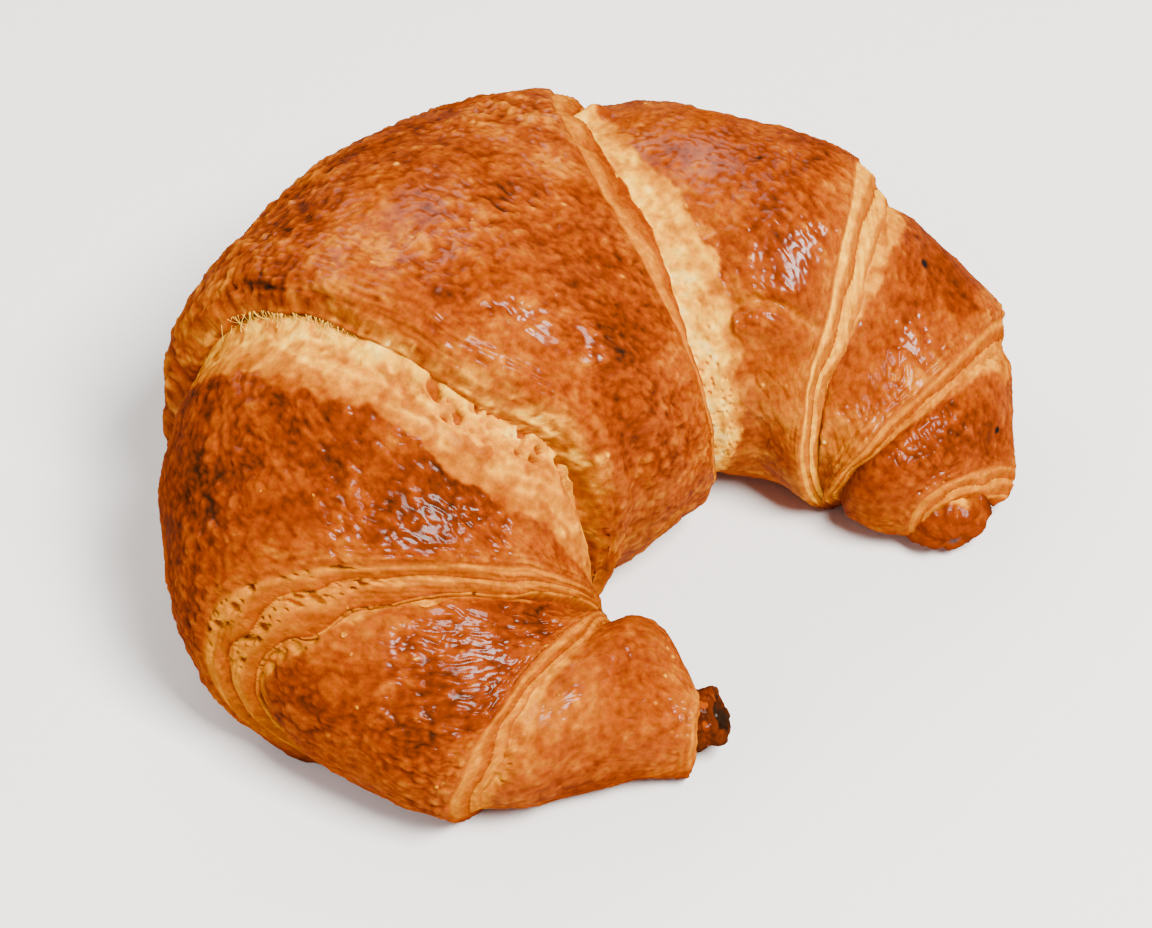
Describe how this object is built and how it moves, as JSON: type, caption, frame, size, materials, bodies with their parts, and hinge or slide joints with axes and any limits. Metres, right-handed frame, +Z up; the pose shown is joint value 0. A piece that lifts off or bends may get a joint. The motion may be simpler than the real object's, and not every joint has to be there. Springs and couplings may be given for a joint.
{
  "type": "spelt pretzel croissant",
  "caption": "Curved croissant of rolled flaky dough with a glossy brown pretzel crust, pale layered seams and a charred tip, lying on its flat base.",
  "frame": {"origin": "middle of the bounding box, on the tray surface that the flat base rests on", "axes": "+Z up, +X along the chord from the left arm to the right arm, both tips point to -Y"},
  "size_m": [0.141, 0.1128, 0.0636],
  "materials": {
    "pretzel_crust": "glossy golden to mahogany brown baked crust, pale cream layered dough in the seams"
  },
  "bodies": {
    "root": {"croissant": "pretzel_crust"}
  },
  "joints": []
}
